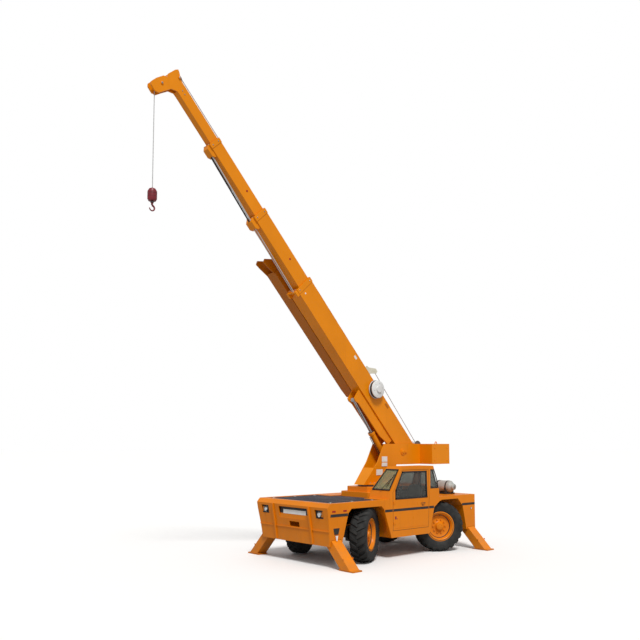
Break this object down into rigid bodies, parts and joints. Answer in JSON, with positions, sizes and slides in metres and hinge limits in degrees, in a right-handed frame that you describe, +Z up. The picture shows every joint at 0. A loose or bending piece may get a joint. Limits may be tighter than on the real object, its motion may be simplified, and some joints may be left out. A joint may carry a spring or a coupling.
{
  "type": "carry deck mobile crane",
  "caption": "Four-wheel carry deck crane with side cab, slewing turret, raised telescoping boom, hanging hook and sloping outriggers set on the ground",
  "frame": {"origin": "on the ground under the centre of the bounding box", "axes": "+Z up, -Y to the front of the carrier and the boom as stored, +X to the operator's left, the cab side"},
  "size_m": [3.6, 8.6488, 10.1266],
  "materials": {
    "paint": "satin",
    "dark": "matte",
    "black": "matte",
    "steel": "satin",
    "tyre": "matte",
    "glass": "gloss",
    "maroon": "satin",
    "tank": "gloss",
    "white": "satin"
  },
  "bodies": {
    "carrier": {"chassis_frame": "black", "front_axle": "paint", "rear_axle": "paint", "front_bumper": "paint", "deck_frame": "paint", "deck_plate": "dark", "pedestal": "paint", "slew_ring": "steel", "side_box_right": "paint", "cab_shell": "paint", "windshield": "glass", "cab_seat": "black", "cab_console": "dark", "rear_body": "paint", "engine_hood": "paint", "engine_block": "steel", "gas_tank": "tank", "tank_cradle": "black"},
    "cab_door": {"cab_door": "paint", "door_glass": "glass"},
    "turret": {"turret_frame": "paint", "counterweight": "paint"},
    "lift_barrel": {"lift_barrel": "paint"},
    "lift_rod": {"lift_rod": "steel"},
    "boom_base": {"boom_base": "paint", "stowed_jib": "paint", "cable_reel": "white", "rope_guide": "white"},
    "winch_drum": {"winch_drum": "steel"},
    "boom_section_2": {"boom_section_2": "paint"},
    "boom_section_3": {"boom_section_3": "paint"},
    "boom_tip": {"boom_tip": "paint"},
    "top_sheave": {"top_sheave": "dark"},
    "head_sheave": {"head_sheave": "dark"},
    "hoist_line": {"hoist_rope": "steel"},
    "hook_block": {"hook_ball": "maroon", "hook": "steel"},
    "knuckle_front_left": {"knuckle_front_left": "black"},
    "wheel_front_left": {"tyre_front_left": "tyre", "rim_front_left": "paint"},
    "knuckle_front_right": {"knuckle_front_right": "black"},
    "wheel_front_right": {"tyre_front_right": "tyre", "rim_front_right": "paint"},
    "knuckle_rear_left": {"knuckle_rear_left": "black"},
    "wheel_rear_left": {"tyre_rear_left": "tyre", "rim_rear_left": "paint"},
    "knuckle_rear_right": {"knuckle_rear_right": "black"},
    "wheel_rear_right": {"tyre_rear_right": "tyre", "rim_rear_right": "paint"},
    "outrigger_front_left": {"outrigger_front_left": "paint"},
    "outrigger_front_right": {"outrigger_front_right": "paint"},
    "outrigger_rear_left": {"outrigger_rear_left": "paint"},
    "outrigger_rear_right": {"outrigger_rear_right": "paint"}
  },
  "joints": [
    {"name": "turret_slew", "type": "hinge", "parent": "carrier", "child": "turret", "pos_m": [0, 1.9844, 1.62], "axis": [0, 0, 1], "continuous": true},
    {"name": "boom_luff", "type": "hinge", "parent": "turret", "child": "boom_base", "pos_m": [0, 2.7544, 2.4], "axis": [-1, 0, 0], "range_deg": [-47.2, 27.8]},
    {"name": "lift_barrel_swing", "type": "hinge", "parent": "turret", "child": "lift_barrel", "pos_m": [0, 2.4164, 2.1], "axis": [-1, 0, 0], "range_deg": [-50, 30]},
    {"name": "lift_rod_slide", "type": "slide", "parent": "lift_barrel", "child": "lift_rod", "axis": [0, -0.5999, 0.8001], "range_m": [-0.36, 0.23]},
    {"name": "telescope_2", "type": "slide", "parent": "boom_base", "child": "boom_section_2", "axis": [0, -0.6794, 0.7337], "range_m": [-1.36, 1.6]},
    {"name": "telescope_3", "type": "slide", "parent": "boom_section_2", "child": "boom_section_3", "axis": [0, -0.6794, 0.7337], "range_m": [-1.22, 1.6]},
    {"name": "telescope_tip", "type": "slide", "parent": "boom_section_3", "child": "boom_tip", "axis": [0, -0.6794, 0.7337], "range_m": [-0.84, 1.9]},
    {"name": "winch_spin", "type": "hinge", "parent": "boom_base", "child": "winch_drum", "pos_m": [0, 3.40418, 2.55195], "axis": [1, 0, 0], "continuous": true},
    {"name": "top_sheave_spin", "type": "hinge", "parent": "boom_tip", "child": "top_sheave", "pos_m": [0, -3.69896, 9.95771], "axis": [1, 0, 0], "continuous": true},
    {"name": "head_sheave_spin", "type": "hinge", "parent": "boom_tip", "child": "head_sheave", "pos_m": [0, -4.09028, 9.718], "axis": [1, 0, 0], "continuous": true},
    {"name": "hook_line_swing", "type": "hinge", "parent": "boom_tip", "child": "hoist_line", "pos_m": [0, -4.09028, 9.718], "axis": [-1, 0, 0], "range_deg": [-28, 47.5]},
    {"name": "hoist", "type": "slide", "parent": "hoist_line", "child": "hook_block", "axis": [0, 0, -1], "range_m": [-1.45, 5.5], "deforming": ["hoist_rope"]},
    {"name": "cab_door_hinge", "type": "hinge", "parent": "carrier", "child": "cab_door", "pos_m": [1.226, 1.2744, 1.1], "axis": [0, 0, -1], "range_deg": [0, 75]},
    {"name": "steer_front_left", "type": "hinge", "parent": "carrier", "child": "knuckle_front_left", "pos_m": [0.8, 0.5044, 0.6], "axis": [0, 0, 1], "range_deg": [-58, 2]},
    {"name": "spin_front_left", "type": "hinge", "parent": "knuckle_front_left", "child": "wheel_front_left", "pos_m": [0.98542, 0.60299, 0.6], "axis": [0.8829, 0.4695, 0], "continuous": true},
    {"name": "steer_front_right", "type": "hinge", "parent": "carrier", "child": "knuckle_front_right", "pos_m": [-0.8, 0.5044, 0.6], "axis": [0, 0, 1], "range_deg": [-58, 2]},
    {"name": "spin_front_right", "type": "hinge", "parent": "knuckle_front_right", "child": "wheel_front_right", "pos_m": [-0.98542, 0.40582, 0.6], "axis": [0.8829, 0.4695, 0], "continuous": true},
    {"name": "steer_rear_left", "type": "hinge", "parent": "carrier", "child": "knuckle_rear_left", "pos_m": [0.8, 3.2344, 0.6], "axis": [0, 0, 1], "range_deg": [-2, 58]},
    {"name": "spin_rear_left", "type": "hinge", "parent": "knuckle_rear_left", "child": "wheel_rear_left", "pos_m": [0.98542, 3.13582, 0.6], "axis": [0.8829, -0.4695, 0], "continuous": true},
    {"name": "steer_rear_right", "type": "hinge", "parent": "carrier", "child": "knuckle_rear_right", "pos_m": [-0.8, 3.2344, 0.6], "axis": [0, 0, 1], "range_deg": [-2, 58]},
    {"name": "spin_rear_right", "type": "hinge", "parent": "knuckle_rear_right", "child": "wheel_rear_right", "pos_m": [-0.98542, 3.33299, 0.6], "axis": [0.8829, -0.4695, 0], "continuous": true},
    {"name": "outrigger_front_left_slide", "type": "slide", "parent": "carrier", "child": "outrigger_front_left", "axis": [-0.7071, 0, 0.7071], "range_m": [0, 0.38]},
    {"name": "outrigger_front_right_slide", "type": "slide", "parent": "carrier", "child": "outrigger_front_right", "axis": [0.7071, 0, 0.7071], "range_m": [0, 0.38]},
    {"name": "outrigger_rear_left_slide", "type": "slide", "parent": "carrier", "child": "outrigger_rear_left", "axis": [-0.7071, 0, 0.7071], "range_m": [0, 0.38]},
    {"name": "outrigger_rear_right_slide", "type": "slide", "parent": "carrier", "child": "outrigger_rear_right", "axis": [0.7071, 0, 0.7071], "range_m": [0, 0.38]}
  ],
  "couplings": [
    {"joint": "lift_barrel_swing", "follows": "boom_luff", "ratio": 1.03},
    {"joint": "lift_rod_slide", "follows": "boom_luff", "m_per_rad": 0.415},
    {"joint": "hook_line_swing", "follows": "boom_luff", "ratio": -1},
    {"joint": "steer_front_right", "follows": "steer_front_left", "ratio": 1},
    {"joint": "steer_rear_right", "follows": "steer_rear_left", "ratio": 1}
  ]
}
